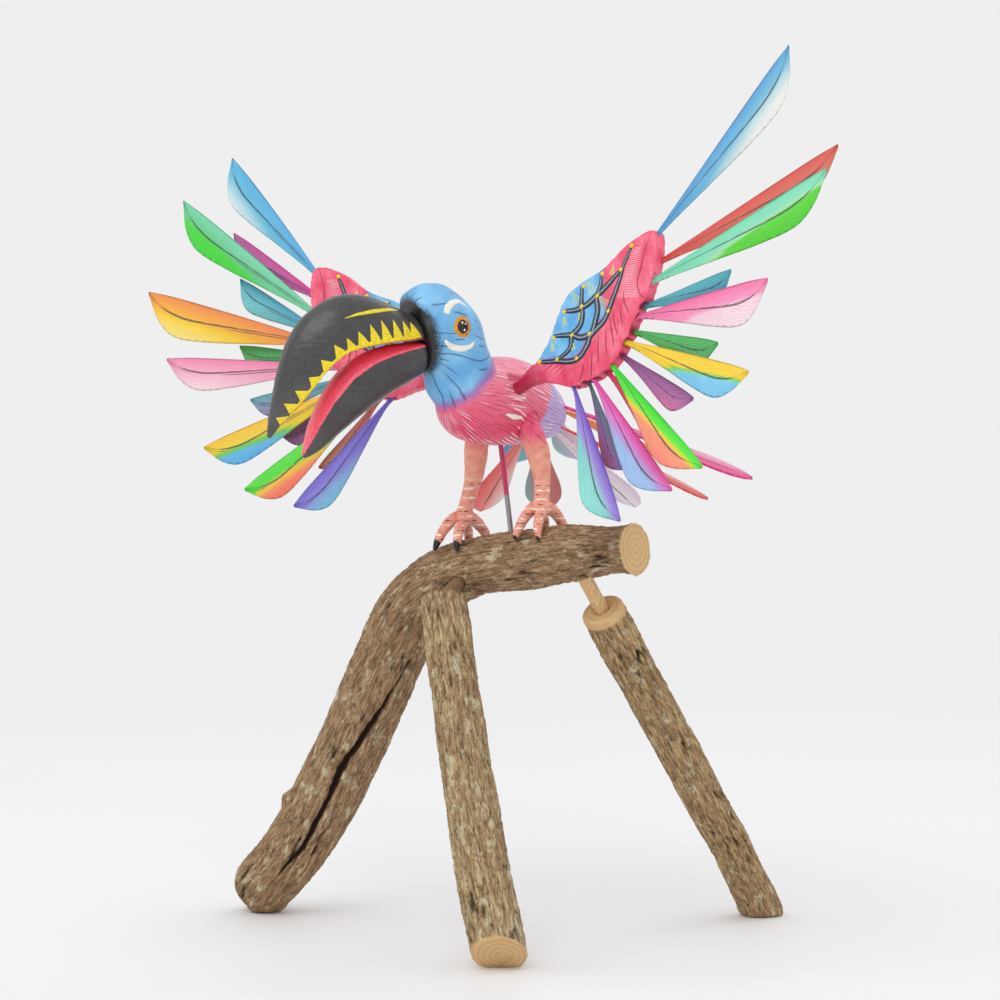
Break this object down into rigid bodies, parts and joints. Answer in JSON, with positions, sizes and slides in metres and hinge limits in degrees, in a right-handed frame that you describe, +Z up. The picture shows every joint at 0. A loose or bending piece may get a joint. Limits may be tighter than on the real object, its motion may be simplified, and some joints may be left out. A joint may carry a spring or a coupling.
{
  "type": "carved bird figure on a branch stand",
  "caption": "Carved and painted wooden bird with a long toothed beak, raised feathered wings and a fanned tail, standing on a natural branch stand.",
  "frame": {"origin": "centre of the whole figure's footprint box, on the surface that it stands on", "axes": "+Z up, the bird's trunk faces -Y, its left wing is towards +X"},
  "size_m": [0.5046, 0.3432, 0.5436],
  "materials": {
    "bark": "rough natural bark",
    "bare_wood": "sanded, unfinished",
    "body_paint": "hand painted, satin",
    "beak_black": "hand painted, satin",
    "leg_paint": "hand painted, satin",
    "rod_steel": "bare and partly painted",
    "wing_paint": "hand painted, satin",
    "feather_blue": "hand painted, satin",
    "feather_coral": "hand painted, satin",
    "feather_green": "hand painted, satin",
    "feather_teal": "hand painted, satin",
    "feather_pink": "hand painted, satin",
    "feather_gold": "hand painted, satin",
    "feather_mauve": "hand painted, satin",
    "feather_magenta": "hand painted, satin",
    "feather_violet": "hand painted, satin"
  },
  "bodies": {
    "stand": {"perch_branch": "bark", "front_leg": "bark", "front_leg_dowel": "bare_wood", "rear_leg": "bark", "rear_leg_dowel": "bare_wood"},
    "bird": {"bird_body": "body_paint", "upper_beak": "beak_black", "lower_beak": "beak_black", "left_leg": "leg_paint", "right_leg": "leg_paint", "mounting_rod": "rod_steel", "tail_feather_01": "feather_coral", "tail_feather_02": "feather_teal", "tail_feather_03": "feather_coral", "tail_feather_04": "feather_pink", "tail_feather_05": "feather_pink", "tail_feather_06": "feather_gold", "tail_feather_07": "feather_coral", "tail_feather_08": "feather_coral", "tail_feather_09": "feather_magenta"},
    "left_wing": {"left_wing": "wing_paint", "left_wing_tab": "bare_wood", "left_feather_01": "feather_blue", "left_feather_02": "feather_coral", "left_feather_03": "feather_green", "left_feather_04": "feather_teal", "left_feather_05": "feather_pink", "left_feather_06": "feather_green", "left_feather_07": "feather_gold", "left_feather_08": "feather_mauve", "left_feather_09": "feather_green", "left_feather_10": "feather_coral", "left_feather_11": "feather_magenta", "left_feather_12": "feather_mauve", "left_feather_13": "feather_violet"},
    "right_wing": {"right_wing": "wing_paint", "right_wing_tab": "bare_wood", "right_feather_01": "feather_blue", "right_feather_02": "feather_magenta", "right_feather_03": "feather_green", "right_feather_04": "feather_teal", "right_feather_05": "feather_gold", "right_feather_06": "feather_green", "right_feather_07": "feather_pink", "right_feather_08": "feather_teal", "right_feather_09": "feather_gold", "right_feather_10": "feather_mauve", "right_feather_11": "feather_green", "right_feather_12": "feather_coral", "right_feather_13": "feather_violet"}
  },
  "joints": [
    {"name": "bird_lift", "type": "slide", "parent": "stand", "child": "bird", "axis": [-0.1473, 0, 0.9891], "range_m": [0, 0.02]},
    {"name": "left_wing_pull", "type": "slide", "parent": "bird", "child": "left_wing", "axis": [0.7553, 0.0343, 0.6545], "range_m": [0, 0.015]},
    {"name": "right_wing_pull", "type": "slide", "parent": "bird", "child": "right_wing", "axis": [-0.8551, -0.0089, 0.5183], "range_m": [0, 0.015]}
  ]
}
